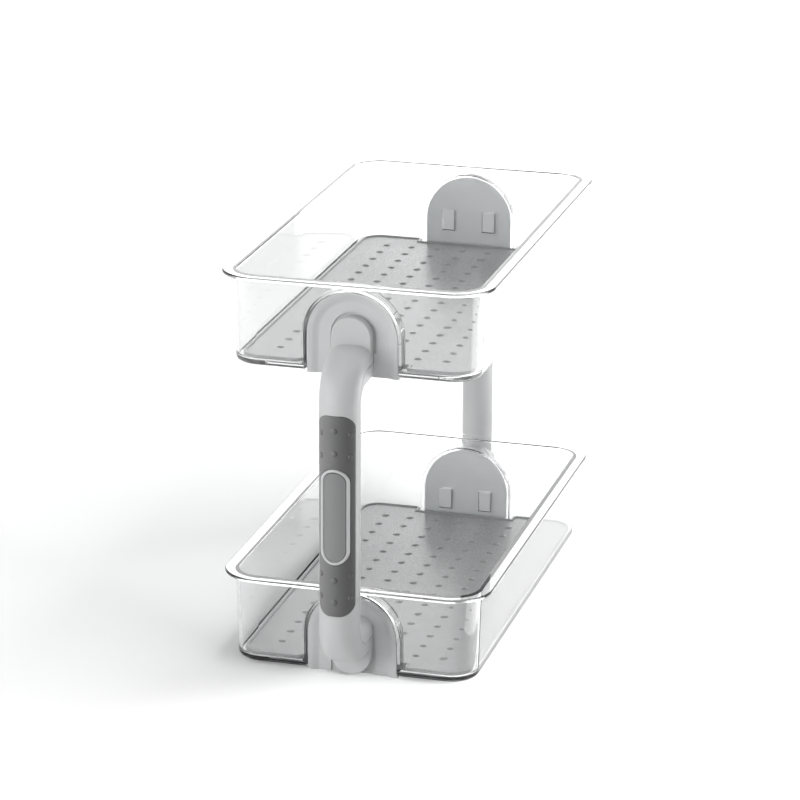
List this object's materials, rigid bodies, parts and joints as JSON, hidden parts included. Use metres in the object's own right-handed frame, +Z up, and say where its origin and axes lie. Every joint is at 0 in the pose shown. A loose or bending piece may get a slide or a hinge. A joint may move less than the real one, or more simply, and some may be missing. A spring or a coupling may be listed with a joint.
{
  "type": "tiered spice organizer",
  "caption": "Tiered countertop organizer: clear open bins with dotted lift-out mats, held one above the other by C-shaped end handles, one of them with a padded grip.",
  "frame": {"origin": "on the table, under the middle of the whole object's footprint", "axes": "+Z up; Y runs along the bins, with the padded grip handle at -Y and the plain handle at +Y; X runs across the bins"},
  "size_m": [0.152, 0.3194, 0.225],
  "materials": {
    "clear_plastic": "clear, polished",
    "mat_rubber": "soft, satin, light grey",
    "handle_plastic": "satin, light grey",
    "grip_rubber": "soft, satin, mid grey",
    "badge_ring_plastic": "satin, light grey",
    "badge_field_plastic": "fine matte, grey"
  },
  "bodies": {
    "frame": {"lower_bin": "clear_plastic", "upper_bin": "clear_plastic", "front_bracket": "handle_plastic", "front_cover": "handle_plastic", "grip": "grip_rubber", "badge_ring": "badge_ring_plastic", "badge_field": "badge_field_plastic", "rear_bracket": "handle_plastic", "rear_cover": "handle_plastic"},
    "lower_mat": {"lower_mat": "mat_rubber"},
    "upper_mat": {"upper_mat": "mat_rubber"}
  },
  "joints": [
    {"name": "lower_mat_lift", "type": "slide", "parent": "frame", "child": "lower_mat", "axis": [0, 0, 1], "range_m": [0, 0.06]},
    {"name": "upper_mat_lift", "type": "slide", "parent": "frame", "child": "upper_mat", "axis": [0, 0, 1], "range_m": [0, 0.06]}
  ]
}
